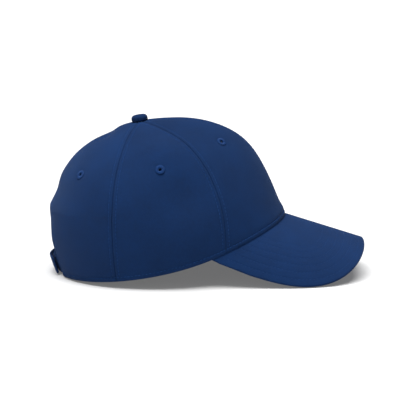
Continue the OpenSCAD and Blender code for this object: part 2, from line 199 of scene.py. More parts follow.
# Soft hollows and swells of the worn-in cloth: direction, height, spread in degrees,
# spread in height, and how far it stands out or in
SWELLS = [
    (-82, 0.30, 15, 0.14, -5.0),
    (-88, 0.60, 20, 0.10, 2.0),
    (-76, 0.14, 12, 0.09, 0.8),
    (-128, 0.40, 15, 0.16, 0.9),
    (-150, 0.72, 18, 0.08, 0.6),
    (180, 0.77, 28, 0.07, -4.0),
    (180, 0.57, 22, 0.07, 0.6),
    (180, 0.35, 28, 0.06, -2.4),
    (180, 0.27, 12, 0.022, 0.7),
    (-170, 0.21, 10, 0.03, -0.5),
    (-168, 0.12, 12, 0.05, 1.4),
    (166, 0.16, 12, 0.04, 0.9),
    (0, 0.45, 34, 0.30, -0.6),
    (88, 0.36, 22, 0.16, -1.1),
    (128, 0.38, 17, 0.15, 0.6),
    (158, 0.70, 16, 0.10, 0.6),
    (18, 0.52, 22, 0.14, 0.5),
    (-22, 0.46, 20, 0.14, 0.4),
]


BROW_SWELL = 1.0  # how far the front stands out just above the visor


def soft_shape(t, v):
    """How far the cloth stands out from the even crown, nothing at the hem and the button."""
    h = np.zeros(np.broadcast(t, v).shape)
    for at_t, at_v, wide, tall, out in SWELLS:
        turned = (t - at_t + 180) % 360 - 180
        h = h + out * np.exp(-(turned / wide)**2 - ((v - at_v) / tall)**2)
    a = np.radians(t)
    h = h + 0.22 * np.sin(5 * a + 7 * v) * np.sin(9 * v + 1.3 * np.sin(2 * a))
    ends = np.clip(v / 0.12, 0, 1) * np.clip((1 - v) / 0.12, 0, 1)
    brow = np.exp(-(t / 42)**2 - ((v - 0.05) / 0.04)**2) * np.clip(v / 0.02, 0, 1)
    return h * ends * ends * (3 - 2 * ends) + BROW_SWELL * brow


def skin(t, v, h=0.0):
    """Point at a height h above the outer face of the crown."""
    t, v = grids(t, v)
    return crown(t, v) + outward(t, v) * (h + soft_shape(t, v))[..., None]


def turn(t, v, mm):
    """Angle about the crown that is mm long at one height."""
    t = np.asarray(t, float)
    return mm / length(crown(t + 0.5, v) - crown(t - 0.5, v))


def rise(t, v, mm):
    """Rise that is mm long at one height."""
    v = np.asarray(v, float)
    return mm * (2 * STEP) / length(crown(t, v + STEP) - crown(t, v - STEP))


def side_seam(v, mm=0.0):
    t = FRONT_SEAM + SEAM_SWEEP * np.asarray(v, float)**3
    return t + turn(t, v, mm)


def rear_seam(v, mm=0.0):
    t = REAR_SEAM + 0 * np.asarray(v, float)
    return t + turn(t, v, mm)


def middle_seam(v):
    return 0 * np.asarray(v, float)


def rear_middle(v):
    return 180 + middle_seam(v)


# Crown seams: direction at each height, and their sides: 0 is the middle, 1 left, -1 right
SEAMS = {
    "front_seam": (middle_seam, (0,)),
    "front_side": (side_seam, (1, -1)),
    "rear_side": (rear_seam, (1, -1)),
    "rear_seam": (rear_middle, (0,)),
}
SUFFIX = {0: "", 1: "_left", -1: "_right"}


def arch(v):
    """Half width of the rear opening at one height, as an angle."""
    return ARCH_TURN * np.sqrt(np.maximum(1 - (v / ARCH_RISE)**2, 0))


def arch_ring(grow, count=90):
    """Directions and heights round the rear opening, grown by some millimetres."""
    a = np.linspace(0, math.pi, count)
    v = np.sin(a) * (ARCH_RISE + rise(180, ARCH_RISE, grow))
    t = 180 - np.cos(a) * (ARCH_TURN + turn(180, 0.1, grow))
    return t, v


# ---- Meshes

SHARP = math.radians(50)  # edges that turn more than this stay sharp


def add_object(name, data):
    obj = bpy.data.objects.new(name, data)
    bpy.context.scene.collection.objects.link(obj)
    return obj


def mesh_object(name, points, faces, uvs, material):
    """Mesh object from points and UVs in millimetres."""
    mesh = bpy.data.meshes.new(name)
    mesh.from_pydata((np.asarray(points) * MM).tolist(), [], np.asarray(faces).tolist())
    mesh.validate()
    layer = mesh.uv_layers.new(name="cloth")
    corner = np.empty(len(mesh.loops), np.int32)
    mesh.loops.foreach_get("vertex_index", corner)
    layer.data.foreach_set("uv", (np.asarray(uvs)[corner] * MM).astype(np.float32).ravel())
    mesh.polygons.foreach_set("use_smooth", np.ones(len(mesh.polygons), bool))
    mesh.set_sharp_from_angle(angle=SHARP)
    mesh.materials.append(material)
    return add_object(name, mesh)


def slab_faces(rows, cols, keep):
    """Faces of a closed slab between two grids, with walls wherever kept cells end."""
    index = np.arange(rows * cols).reshape(rows, cols)
    a, b = index[:-1, :-1], index[:-1, 1:]
    c, d = index[1:, 1:], index[1:, :-1]
    back = rows * cols
    front = np.stack([a, b, c, d], -1)[keep]
    rear = np.stack([a, d, c, b], -1)[keep] + back
    padded = np.pad(keep, 1)
    walls = []
    for near, (p, q) in (
        (padded[:-2, 1:-1], (a, b)),
        (padded[1:-1, 2:], (b, c)),
        (padded[2:, 1:-1], (c, d)),
        (padded[1:-1, :-2], (d, a)),
    ):
        edge = keep & ~near
        walls.append(np.stack([q[edge], p[edge], p[edge] + back, q[edge] + back], -1))
    return np.concatenate([front, rear, *walls])


def cloth(name, nodes, outer, inner, slot, uv=None, keep=None, body="cap", blend=None):
    """Closed sheet of cloth between two grids of points. nodes are the parts it stands for."""
    rows, cols = outer.shape[:2]
    if keep is None:
        keep = np.ones((rows - 1, cols - 1), bool)
    faces = slab_faces(rows, cols, keep)
    points = np.concatenate([outer.reshape(-1, 3), inner.reshape(-1, 3)])
    uvs = np.tile((grid_uv(outer) if uv is None else uv).reshape(-1, 2), (2, 1))
    used, compact = np.unique(faces, return_inverse=True)
    obj = mesh_object(name, points[used], compact.reshape(faces.shape), uvs[used], MATERIALS[slot])
    attach(obj, body, blend)
    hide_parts(*nodes)
    return obj


def cell_mean(a):
    """Mean of the four corners of each cell of a grid."""
    return (a[:-1, :-1] + a[1:, :-1] + a[:-1, 1:] + a[1:, 1:]) / 4


def grid_uv(points):
    """UVs from lengths: across from the middle of each row, and up the middle column."""
    steps = length(np.diff(points, axis=1))
    u = np.concatenate([np.zeros((len(points), 1)), np.cumsum(steps, axis=1)], axis=1)
    u = u - u[:, -1:] / 2
    middle = points[:, points.shape[1] // 2]
    v = line_steps(middle)
    return np.stack([u, np.broadcast_to(v[:, None], u.shape)], -1)


def line_steps(line):
    """Lengths along a line of points, from its start."""
    return np.concatenate([[0], np.cumsum(length(np.diff(line, axis=0)))])


def distance_to(points, line):
    """Distance from each point to the nearest stretch of a line of points."""
    flat = points.reshape(-1, points.shape[-1])
    start, run = line[:-1], np.diff(line, axis=0)
    size = np.maximum((run * run).sum(-1), 1e-12)
    best = np.full(len(flat), np.inf)
    for k in range(len(start)):
        away = flat - start[k]
        share = np.clip(away @ run[k] / size[k], 0, 1)
        best = np.minimum(best, length(away - share[:, None] * run[k]))
    return best.reshape(points.shape[:-1])


# ---- Sewing

def resample(path, normals):
    """Points, ways and normals of the stitches along a path."""
    steps = line_steps(path)
    count = max(1, int(steps[-1] / STITCH_PITCH))
    at = (np.arange(count) + 0.5) * steps[-1] / count

    def along(values, ahead=0.0):
        return np.stack([np.interp(at + ahead, steps, values[:, k]) for k in range(3)], -1)

    way = unit(along(path, 0.3) - along(path, -0.3))
    normal = unit(along(normals))
    normal = unit(normal - (normal * way).sum(-1, keepdims=True) * way)
    return along(path), way, normal


def tube_faces(rings, sides):
    """Faces of an open tube of several rings."""
    return np.array([[r * sides + k, r * sides + (k + 1) % sides,
                      (r + 1) * sides + (k + 1) % sides, (r + 1) * sides + k]
                     for r in range(rings - 1) for k in range(sides)])


def copies(shape, faces, at, x, y, z):
    """Copies of a small shape, each at its own point with its own three axes."""
    points = (at[:, None] + x[:, None] * shape[None, :, :1] + y[:, None] * shape[None, :, 1:2]
              + z[:, None] * shape[None, :, 2:])
    starts = np.arange(len(at))[:, None, None] * len(shape)
    return points.reshape(-1, 3), (faces[None] + starts).reshape(-1, 4)


STITCH_BOW = 0.22  # how far a stitch rises above its ends
STITCH_SINK = 0.12  # how far its ends are pulled into the cloth


def stitch(rings=5, sides=6):
    """One stitch: a thread that comes up out of the cloth, runs along it and goes down."""
    x = np.linspace(-1, 1, rings)
    thick = THREAD_R * np.array([1.0 if abs(k) < 0.99 else 0.55 for k in x])
    angle = np.arange(sides) * 2 * math.pi / sides
    ring = [[(x[r] * STITCH_LEN / 2, thick[r] * math.cos(a),
              thick[r] * math.sin(a) + STITCH_BOW * (1 - x[r]**4) - STITCH_SINK)
             for a in angle] for r in range(rings)]
    return np.array(ring).reshape(-1, 3), tube_faces(rings, sides)


def sew(name, rows, blend=None, look="thread"):
    """Stitches along rows of (path, normals), one piece that moves with the cloth it holds."""
    shape, faces = stitch()
    points, all_faces, uvs, count = [], [], [], 0
    for path, normals in rows:
        at, way, normal = resample(path, normals)
        placed, placed_faces = copies(shape, faces, at, way, np.cross(normal, way), normal)
        points.append(placed)
        all_faces.append(placed_faces + count)
        uvs.append(np.tile(shape[:, :2], (len(at), 1)))
        count += len(placed)
    obj = mesh_object(name, np.concatenate(points), np.concatenate(all_faces),
                      np.concatenate(uvs), MATERIALS[look])
    attach(obj, blend=blend)


def attach(obj, body="cap", blend=None):
    """Puts a piece on a body to move with, or, when it is given a blend of two bodies, only bakes its
    transform.
    """
    if blend:
        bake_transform(obj)
    else:
        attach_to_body(obj, body)


def crown_row(t, v, h=0.0, flip=False):
    """Row of stitches along the crown at a height h above its face."""
    normals = outward(t, v)
    return skin(t, v, h), -normals if flip else normals


# ---- Materials

def node(tree, kind, inputs=(), **settings):
    """New shader node. A socket in inputs is linked, and anything else is its value."""
    made = tree.nodes.new(kind)
    for key, value in settings.items():
        setattr(made, key, value)
    for key, value in dict(inputs).items():
        if isinstance(value, bpy.types.NodeSocket):
            tree.links.new(value, made.inputs[key])
        else:
            made.inputs[key].default_value = value
    return made


def new_material(name, sheen=0.0, **values):
    made = bpy.data.materials.new(name)
    made.use_nodes = True
    tree = made.node_tree
    shader = tree.nodes["Principled BSDF"]
    shader.inputs["Sheen Weight"].default_value = sheen
    for key, value in values.items():
        shader.inputs[key.replace("_", " ")].default_value = value
    return made, tree, shader


def math_node(tree, operation, a, b=0.0):
    return node(tree, "ShaderNodeMath", {0: a, 1: b}, operation=operation).outputs[0]


def stripes(tree, along, period):
    """Even ridges from -1 to 1 along a coordinate in metres."""
    return math_node(tree, "SINE", math_node(tree, "MULTIPLY", along, 2 * math.pi / period))


def cloth_axes(tree):
    uv = node(tree, "ShaderNodeUVMap", uv_map="cloth").outputs[0]
    parts = node(tree, "ShaderNodeSeparateXYZ", {0: uv})
    return parts.outputs[0], parts.outputs[1]


def noise(tree, scale, detail=3.0):
    place = node(tree, "ShaderNodeTexCoord").outputs["Object"]
    made = node(tree, "ShaderNodeTexNoise", {"Vector": place, "Scale": scale, "Detail": detail})
    return made.outputs["Fac"]


def ramp(tree, factor, low, high, start=0.0, end=1.0):
    made = node(tree, "ShaderNodeValToRGB", {"Fac": factor})
    stops = made.color_ramp.elements
    stops[0].position, stops[0].color = start, (*low, 1)
    stops[1].position, stops[1].color = end, (*high, 1)
    return made.outputs["Color"]


def scaled(colour, share):
    return tuple(min(1.0, c * share) for c in colour)


def bump(tree, shader, height, depth):
    made = node(tree, "ShaderNodeBump", {"Height": height, "Strength": 1.0, "Distance": depth})
    tree.links.new(made.outputs[0], shader.inputs["Normal"])


def rough(tree, shader, factor, low, high):
    spread = node(tree, "ShaderNodeMapRange", {"Value": factor, "To Min": low, "To Max": high})
    tree.links.new(spread.outputs[0], shader.inputs["Roughness"])


def tint(tree, shader, factor, colour, tones, start, end):
    """Base colour that runs between two tones of one colour."""
    low, high = (scaled(colour, tone) for tone in tones)
    tree.links.new(ramp(tree, factor, low, high, start, end), shader.inputs["Base Color"])


def plus(tree, first, second, share):
    """First value plus a share of the second."""
    return math_node(tree, "ADD", first, math_node(tree, "MULTIPLY", second, share))


def grain_look(name, colour, grain, tones, gloss, depth, **values):
    """Look of one fine grain, which sets tone, gloss and relief together."""
    made, tree, shader = new_material(name, **values)
    fine = noise(tree, *grain)
    tint(tree, shader, fine, colour, tones, 0.3, 0.7)
    rough(tree, shader, fine, *gloss)
    bump(tree, shader, fine, depth)
    return made


DYE_AND_SHADE_SPREAD = 0.12  # how far the twill's tone spreads: uneven dye, and painted shade in the valleys of the weave


def twill(name, colour, pitch=0.00055, sheen=0.05):
    """Twill: diagonal ridges of yarn, with slubs, a slightly uneven dye, and painted shade that darkens
    the valleys between the ridges.
    """
    made, tree, shader = new_material(name, sheen=sheen, Sheen_Roughness=0.4, IOR=1.18)
    shader.inputs["Sheen Tint"].default_value = (0.45, 0.65, 1.0, 1)
    u, v = cloth_axes(tree)
    slant = math_node(tree, "ADD", math_node(tree, "MULTIPLY", u, 0.8), v)
    ridge = stripes(tree, plus(tree, slant, noise(tree, 900.0), pitch * 0.8), pitch)
    weave = plus(tree, ridge, stripes(tree, u, pitch * 0.5), 0.35)
    dye = plus(tree, math_node(tree, "MULTIPLY", noise(tree, 38.0), 0.6), noise(tree, 420.0), 0.4)
    # the weave's ridges lighten the base colour and its valleys darken it: painted shade of the weave,
    # on top of the uneven dye
    tint(tree, shader, plus(tree, dye, weave, 0.1), colour, (1 - 2 * DYE_AND_SHADE_SPREAD, 1 + 2 * DYE_AND_SHADE_SPREAD), 0.2, 0.8)
    rough(tree, shader, dye, 0.72, 0.9)
    bump(tree, shader, plus(tree, weave, noise(tree, 2500.0), 0.8), 0.00005)
    return made


def tape_weave(name, colour, pitch=0.0007):
    """Plain weave: yarns that cross over and under each other."""
    made, tree, shader = new_material(name, sheen=0.1)
    u, v = cloth_axes(tree)
    crossing = math_node(tree, "MULTIPLY", stripes(tree, u, pitch), stripes(tree, v, pitch))
    tone = math_node(tree, "ADD", math_node(tree, "MULTIPLY", crossing, 0.2), noise(tree, 150.0))
    tint(tree, shader, tone, colour, (0.7, 1.3), 0.2, 0.8)
    rough(tree, shader, noise(tree, 300.0), 0.7, 0.9)
    bump(tree, shader, plus(tree, crossing, noise(tree, 2200.0), 0.7), 0.00008)
    return made


def open_weave(name, colour, pitch=0.0012):
    """Stiffened open weave: yarns with dark gaps between them."""
    made, tree, shader = new_material(name)
    u, v = cloth_axes(tree)
    yarns = math_node(tree, "MAXIMUM", stripes(tree, u, pitch), stripes(tree, v, pitch))
    tint(tree, shader, plus(tree, yarns, noise(tree, 250.0), 0.3), colour, (0.3, 1), -0.2, 0.6)
    rough(tree, shader, noise(tree, 500.0), 0.5, 0.75)
    bump(tree, shader, yarns, 0.0002)
    return made


def felt(name, colour):
    """Felt: matted fibres with no weave."""
    made, tree, shader = new_material(name, sheen=0.4)
    fibre = math_node(tree, "ADD", noise(tree, 700.0, 6.0), noise(tree, 2800.0))
    tint(tree, shader, fibre, colour, (0.75, 1.1), 0.6, 1.4)
    rough(tree, shader, fibre, 0.8, 1.0)
    bump(tree, shader, fibre, 0.0004)
    return made


def thread(name, colour):
    """Sewing thread: plies that twist round each other, slightly glossy."""
    made, tree, shader = new_material(name, IOR=1.2)
    u, v = cloth_axes(tree)
    ply = stripes(tree, plus(tree, u, v, 1.5), 0.0005)
    tone = math_node(tree, "ADD", math_node(tree, "MULTIPLY", ply, 0.3), noise(tree, 600.0))
    tint(tree, shader, tone, colour, (0.75, 1.35), 0.2, 0.9)
    rough(tree, shader, noise(tree, 400.0), 0.4, 0.6)
    bump(tree, shader, ply, 0.00006)
    return made


def satin_thread(name, colour):
    """Worked thread of an eyelet: close strands that run out from the hole."""
    return grain_look(name, colour, (1500.0, 5.0), (0.75, 1.3), (0.4, 0.6), 0.00008, IOR=1.2)


def brushed_steel(name, colour):
    return grain_look(name, colour, (900.0, 6.0), (0.85, 1.1), (0.28, 0.45), 0.00002, Metallic=1.0)


def nylon(name, colour):
    return grain_look(name, colour, (2600.0, 5.0), (0.7, 1.5), (0.35, 0.6), 0.00006, IOR=1.3)


def sheet_plastic(name, colour):
    made, tree, shader = new_material(name)
    grain = noise(tree, 1100.0)
    tint(tree, shader, noise(tree, 40.0), colour, (0.94, 1), 0.3, 0.7)
    rough(tree, shader, grain, 0.45, 0.6)
    bump(tree, shader, grain, 0.00003)
    return made


NAVY = (0.0038, 0.0204, 0.0765)
MATERIALS = {
    "crown_cloth": twill("crown_twill", NAVY),
    "visor_cloth": twill("visor_twill", NAVY),
    # the button's cloth is the crown's navy darkened to 0.9: painted shade on its lit top
    "button_cloth": twill("button_twill", scaled(NAVY, 0.9), sheen=0.02),
    "strap_cloth": twill("strap_twill", NAVY),
    "sweatband_cloth": twill("sweatband_cotton", scaled(NAVY, 0.85), pitch=0.0009, sheen=0.08),
    "binding_tape": tape_weave("binding_weave", scaled(NAVY, 0.85)),
    "seam_tape": tape_weave("seam_tape_weave", scaled(NAVY, 0.9)),
    "buckram": open_weave("buckram_weave", (0.62, 0.62, 0.58)),
    "padding": felt("padding_felt", (0.62, 0.62, 0.58)),
    # the stitch threads are the cloth's navy lightened 2.7 and 1.7 times: painted highlight along the
    # rows of stitches
    "thread": thread("sewing_thread", scaled(NAVY, 2.7)),
    "visor_thread": thread("visor_sewing_thread", scaled(NAVY, 1.7)),
    # the eyelets' thread is the navy lightened 1.5 times: painted highlight on their rims
    "eyelet": satin_thread("eyelet_thread", scaled(NAVY, 1.5)),
    "steel": brushed_steel("stamped_steel", (0.55, 0.56, 0.58)),
    "visor_board": sheet_plastic("board_plastic", (0.75, 0.75, 0.73)),
    "hook_tape": nylon("hook_nylon", scaled(NAVY, 0.9)),
    "loop_tape": nylon("loop_nylon", scaled(NAVY, 0.8)),
}


# ---- Crown panels

ROLL = 0.9  # how round the folded edge of a panel is


def roll(d, r=ROLL):
    """Depth of a folded edge, which turns down over its last r millimetres."""
    x = np.clip(1 - d / r, 0, 1)
    return -r * (1 - np.sqrt(np.maximum(1 - x * x, 0)))


def dip(d, at, deep, wide=0.45):
    """Groove that a row of stitches pulls into the cloth."""
    return -deep * np.exp(-((d - at) / wide)**2)


def plump(d, low, high, tall):
    """Low band that stands out where the cloth has a folded edge behind it."""
    up = np.clip((d - low) / 0.5, 0, 1)
    down = np.clip((high - d) / 0.5, 0, 1)
    return tall * up * down


def pucker(d, along, tall=0.13, wave=7.5):
    """Small ripples that the stitches pull beside a seam."""
    ripple = np.sin(2 * math.pi * along / wave + 1.7 * np.sin(along / 11))
    return tall * ripple * np.exp(-((d - STITCH_OFF) / 3.0)**2)


def seam_relief(d, along):
    return (roll(d) + plump(d, 0.7, STITCH_OFF, 0.1) + dip(d, STITCH_OFF, 0.22)
            + pucker(d, along))


def hem_relief(d, along):
    return (roll(d, HEM_ROLL) + plump(d, 0.9, HEM_STITCH, 0.22) + dip(d, HEM_STITCH, 0.3)
            + 0.1 * np.sin(2 * math.pi * along / 9) * np.exp(-((d - HEM_STITCH) / 3.5)**2))


# Distances from an edge, in millimetres, at which a panel has points
EDGE_STEPS = (0, 0.02, 0.09, 0.22, 0.42, 0.66, 0.9, 1.5, 2.2, 2.8, 3.2, 3.6, 4.2, 5.4, 7.2)
MIDDLE_STEPS = 26  # points between the two edges
HEM_ROLL = 1.1  # how round the hem is
EYELET_CUT = 2.5  # radius of the hole in the cloth


def edge_shares(width):
    """Shares across a width in millimetres, close together near both edges."""
    fine = np.array(EDGE_STEPS)
    fine = fine * min(1.0, 0.42 * width / fine[-1]) / width
    across = np.linspace(fine[-1], 1 - fine[-1], MIDDLE_STEPS)
    return np.concatenate([fine[:-1], across, 1 - fine[-2::-1]])


def hem_levels(t):
    """Heights of the rows of a panel, close together at the hem."""
    tall = 2.0 / rise(t, 0.5, 2.0)
    low = np.array(EDGE_STEPS + (HEM_STITCH, 4.6, 8.6, 10.2)) / tall
    rest = np.linspace(12.0 / tall, 1, 74)
    return np.unique(np.round(np.concatenate([low, rest]), 6))


def near_eyelet(kind, t, v):
    """Distance of points from the middle of a panel's eyelet, in millimetres."""
    at = EYELETS[kind]
    centre = crown(np.array(at[0]), np.array(at[1]))
    return length(crown(np.abs(t), v) - centre)


def spaced(values, gap):
    """Values in order, without those that come too close to the one before."""
    kept = [values[0]]
    for value in values[1:]:
        if value - kept[-1] > gap:
            kept.append(value)
    return np.array(kept)


def panel_grid(kind, low_edge, high_edge, levels):
    """Directions and heights of a left panel's points, row by row."""
    at_t, at_v = EYELETS[kind]
    fine = np.arange(-4.4, 4.5, 1.1)
    levels = spaced(np.sort(np.concatenate([levels, at_v + rise(at_t, at_v, 1.0) * fine])), 5e-5)
    lo, hi = low_edge(at_v), high_edge(at_v)
    wide = float((hi - lo) / turn(at_t, at_v, 1.0))
    base = edge_shares(wide)
    share_at = float((at_t - lo) / (hi - lo)) + fine / wide
    lattice = np.sort(np.concatenate([base, share_at]))
    columns = len(lattice)
    edges = len(EDGE_STEPS)
    rows = []
    for v in levels:
        a, b = float(low_edge(v)), float(high_edge(v))
        width = max(float((b - a) / turn((a + b) / 2, v, 1.0)), 0.5)
        share = lattice.copy()
        side = edge_shares(width)
        share[:edges] = side[:edges]
        share[columns - edges:] = side[-edges:]
        inner = lattice[edges - 1:columns - edges + 1]
        span = (inner - inner[0]) / (inner[-1] - inner[0])
        share[edges - 1:columns - edges + 1] = side[edges - 1] + span * (side[-edges] - side[edges - 1])
        rows.append(a + (b - a) * share)
    t = np.array(rows)
    return t, np.broadcast_to(levels[:, None], t.shape)


def edge_line(edge, low=0.0):
    v = np.linspace(low, 1, 160)
    return crown(edge(v), v)


def on_side(side, t, *values):
    """Grids of a left piece, or turned over for the right one, whose t is less than 0."""
    if side == "right":
        return [-t[:, ::-1]] + [a[:, ::-1] for a in values]
    return [t, *values]


def panel(kind, side, low_edge, high_edge, levels, lines):
    """One crown panel. lines are the edges that are sewn, as rows of points."""
    t, v = panel_grid(kind, low_edge, high_edge, levels)
    even = crown(t, v)
    nearest = np.min([distance_to(even, line) for line in lines], axis=0)
    height = seam_relief(nearest, v / rise(t, 0.5, 1.0))
    hem = distance_to(even, rim_point(np.linspace(t.min() - 3, t.max() + 3, 120)))
    hem_roll = roll(hem, HEM_ROLL)
    height = np.minimum(height, hem_roll) + hem_relief(hem, t * 1.5) - hem_roll
    away = near_eyelet(kind, t, v)
    height = height - 0.35 * np.exp(-((away - EYELET_R - 0.4) / 1.4)**2)
    cell = cell_mean(away) > EYELET_CUT
    inner = np.minimum(-CLOTH, height - 0.55) - 0.1 * np.exp(-nearest**2)
    t, v, height, inner, cell = on_side(side, t, v, height, inner, cell)
    name = f"{kind}_panel_{side}"
    obj = cloth(name + "_twill", [name], skin(t, v, height), skin(t, v, inner), "crown_cloth",
                keep=cell)


def rear_edge(v):
    return 180 - arch(np.asarray(v, float))


def crown_panels():
    sweep = ARCH_RISE * np.sin(np.linspace(0, math.pi / 2, 52))
    above = ARCH_RISE + rise(180, ARCH_RISE, 1.0) * np.array(EDGE_STEPS[1:] + (9.0,))
    rear_levels = spaced(np.unique(np.concatenate(
        [sweep, above, np.linspace(ARCH_RISE + 0.08, 1, 58), hem_levels(150)[:14]])), 5e-5)
    arch_line = crown(*arch_ring(0.0))
    rear_line = edge_line(rear_middle, ARCH_RISE)
    front = edge_line(middle_seam)
    side = edge_line(side_seam)
    back = edge_line(rear_seam)
    for hand in SIDES:
        panel("front", hand, middle_seam, side_seam, hem_levels(30),
              [front, side])
        panel("side", hand, side_seam, rear_seam, hem_levels(90), [side, back])
        panel("rear", hand, rear_seam, rear_edge, rear_levels,
              [back, rear_line, arch_line])


# ---- Sewing on the crown

def beside(seam, v, way):
    """Direction of the stitches beside a seam, which close in on it near the button."""
    wide = 60 / turn(seam(v), v, 1.0)
    off = np.minimum(STITCH_OFF, 0.3 * wide)
    return seam(v) + way * off * turn(seam(v), v, 1.0)


def seam_stitches():
    for name, (seam, sides) in SEAMS.items():
        low = ARCH_RISE + 0.03 if name == "rear_seam" else 0.0
        v = np.linspace(low + float(rise(seam(0.0), 0.05, 5.2)), 0.985, 260)
        for side in sides:
            rows = [crown_row(beside(seam, v, way) * (side or 1), v, -0.12) for way in (-1, 1)]
            sew(f"{name}_stitches{SUFFIX[side]}", rows)


def hem_stitches():
    stop = 180 - ARCH_TURN - 1.5
    t = np.linspace(-stop, stop, 900)
    sew("hem_stitches", [crown_row(t, rise(t, 0.02, HEM_STITCH), -0.14)])


def arch_rows(h, low=0.0, lift=0.0, flip=False):
    """Two rows of stitches round the rear opening, above a lowest height."""
    rows = []
    for grow in (STITCH_OFF, ARCH_TAPE_W - 1.0):
        t, v = arch_ring(grow, 200)
        kept = v >= low
        rows.append(crown_row(t[kept], v[kept] + lift, h, flip))
    return rows


def arch_stitches():
    sew("arch_stitches", arch_rows(-0.12, low=0.045))


# ---- Layers inside the crown

def buckrams():
    """Stiffener behind each front panel, with a hole for the eyelet."""
    gap, hole = 1.5, 4.4
    levels = np.linspace(0.05, 0.95, 100)
    low, high = turn(1, levels, gap), side_seam(levels, -gap)
    even = low[:, None] + (high - low)[:, None] * np.linspace(0, 1, 70)
    height = np.broadcast_to(levels[:, None], even.shape)
    kept = cell_mean(near_eyelet("front", even, height)) > hole
    for hand in SIDES:
        t, v, cell = on_side(hand, even, height, kept)
        obj = cloth(f"buckram_{hand}_weave", [f"buckram_{hand}"], skin(t, v, -INNER_1),
                    skin(t, v, -INNER_1 - BUCKRAM), "buckram", keep=cell)


TAPE_LOW = 0.05  # height at which the tapes end, under the sweatband
TAPE_TURN = 20  # most that half a tape turns about the crown
TAPE_EDGE = 0.3  # how round a tape's edges are

# Seam tapes: depth, lowest height, length in metres and the panels they join
TAPES = {
    "front_seam": (INNER_2, TAPE_LOW, 0.144, ("front", "front")),
    "front_side": (INNER_2, TAPE_LOW, 0.143, ("front", "side")),
    "rear_side": (INNER_1, TAPE_LOW, 0.145, ("side", "rear")),
    "rear_seam": (INNER_1, ARCH_RISE + 0.1, 0.087, ("rear", "rear")),
}
# Points across a tape, as shares of its width, close together at its edges
TAPE_SHARES = np.concatenate([[0, 0.02], np.linspace(0.06, 0.94, 14), [0.98, 1]])


def seam_tape(name, side):
    seam = SEAMS[name][0]
    depth, low, long, joined = TAPES[name]
    sign = side or 1
    levels = np.linspace(low, 0.95, 70)
    half = np.minimum(turn(seam(levels), levels, TAPE_W / 2), TAPE_TURN)
    first, second = (sign * seam(levels) + way * half for way in (-1, 1))
    t = first[:, None] + (second - first)[:, None] * TAPE_SHARES
    v = np.broadcast_to(levels[:, None], t.shape)
    soft = roll(np.minimum(TAPE_SHARES, 1 - TAPE_SHARES) * TAPE_W, TAPE_EDGE)
    inner = skin(t, v, -depth - TAPE - soft - 0.07 * np.cos(TAPE_SHARES * 6 * math.pi))
    full = f"{name}_tape{SUFFIX[side]}"
    obj = cloth(full + "_cloth", [full], skin(t, v, -depth + soft), inner, "seam_tape")
    sew(full + "_stitches", [crown_row(sign * beside(seam, levels, way), levels, -depth - TAPE,
                                       flip=True) for way in (-1, 1)])


def arch_tape():
    """Tape that binds the rear opening, seen inside the crown."""
    lift = 0.004
    grow = np.concatenate([[0.3, 0.4, 0.7, 1.2], np.linspace(2, ARCH_TAPE_W - 1, 12),
                           [ARCH_TAPE_W - 0.4, ARCH_TAPE_W - 0.1, ARCH_TAPE_W]])
    rings = np.array([arch_ring(g, 140) for g in grow])
    t, v = rings[:, 0], rings[:, 1] + lift
    soft = roll(np.minimum(grow - grow[0], grow[-1] - grow), TAPE_EDGE)[:, None]
    obj = cloth("arch_tape_weave", ["arch_tape"], skin(t, v, -INNER_1 + soft),
                skin(t, v, -INNER_1 - TAPE - soft), "binding_tape")
    sew("arch_tape_stitches", arch_rows(-INNER_1 - TAPE, lift=lift, flip=True))


def band_strip(name, node_name, t, profile, half, slot):
    """Strip round the crown from the middle line of its section: (height, depth) points."""
    line = np.array(profile, float)
    steps = line_steps(line)
    at = np.linspace(0, steps[-1], 56)
    line = np.stack([np.interp(at, steps, line[:, k]) for k in range(2)], -1)
    for _ in range(3):
        line[1:-1] = (line[:-2] + 2 * line[1:-1] + line[2:]) / 4
    way = unit(np.gradient(line, axis=0))
    off = np.stack([way[:, 1], -way[:, 0]], -1)
    ends = 1 + roll(np.minimum(at, at[-1] - at), half * 0.8) / (half * 0.8)
    off = off * (half * (0.35 + 0.65 * ends))[:, None]

    def face(section):
        tt, up = np.meshgrid(t, section[:, 0])
        deep = np.broadcast_to(section[:, 1][:, None], tt.shape)
        ripple = 0.15 * np.sin(tt / 3.1 + np.sin(tt / 7)) * np.clip(up / BAND_H, 0, 1)
        return skin(tt, rise(tt, 0.1, 1.0) * up, -(deep + ripple))

    return cloth(name, [node_name], face(line + off), face(line - off), slot)


def sweatband():
    """Sweatband: its lower edge is sewn to the hem, and its top edge is turned over."""
    stop = 180 - ARCH_TURN - float(turn(160, 0, ARCH_TAPE_W + 3))
    t = np.linspace(-stop, stop, 420)
    face_depth = INNER_4 + BAND / 2
    profile = [(0.9, 1.7), (0.5, 2.6), (0.9, 3.9), (2.6, face_depth), (10, face_depth + 0.4),
               (22, face_depth + 0.45), (30, face_depth + 0.2), (34.2, face_depth),
               (BAND_H, 4.5), (34.3, 3.95), (31.8, 3.85)]
    obj = band_strip("sweatband_cotton", "sweatband", t, profile, BAND / 2, "sweatband_cloth")
    felt_depth = INNER_3 + PADDING / 2
    pad = band_strip("sweatband_felt", "sweatband_padding", t[6:-6],
                     [(3.2, felt_depth), (30.8, felt_depth)], PADDING / 2, "padding")
    sew("sweatband_stitches", [
        crown_row(t, rise(t, 0.1, 1.0) * up, -(INNER_4 + BAND + STITCH_SINK), flip=True)
        for up in (HEM_STITCH + 1, BAND_H - 3.0)])


# ---- Eyelets and button

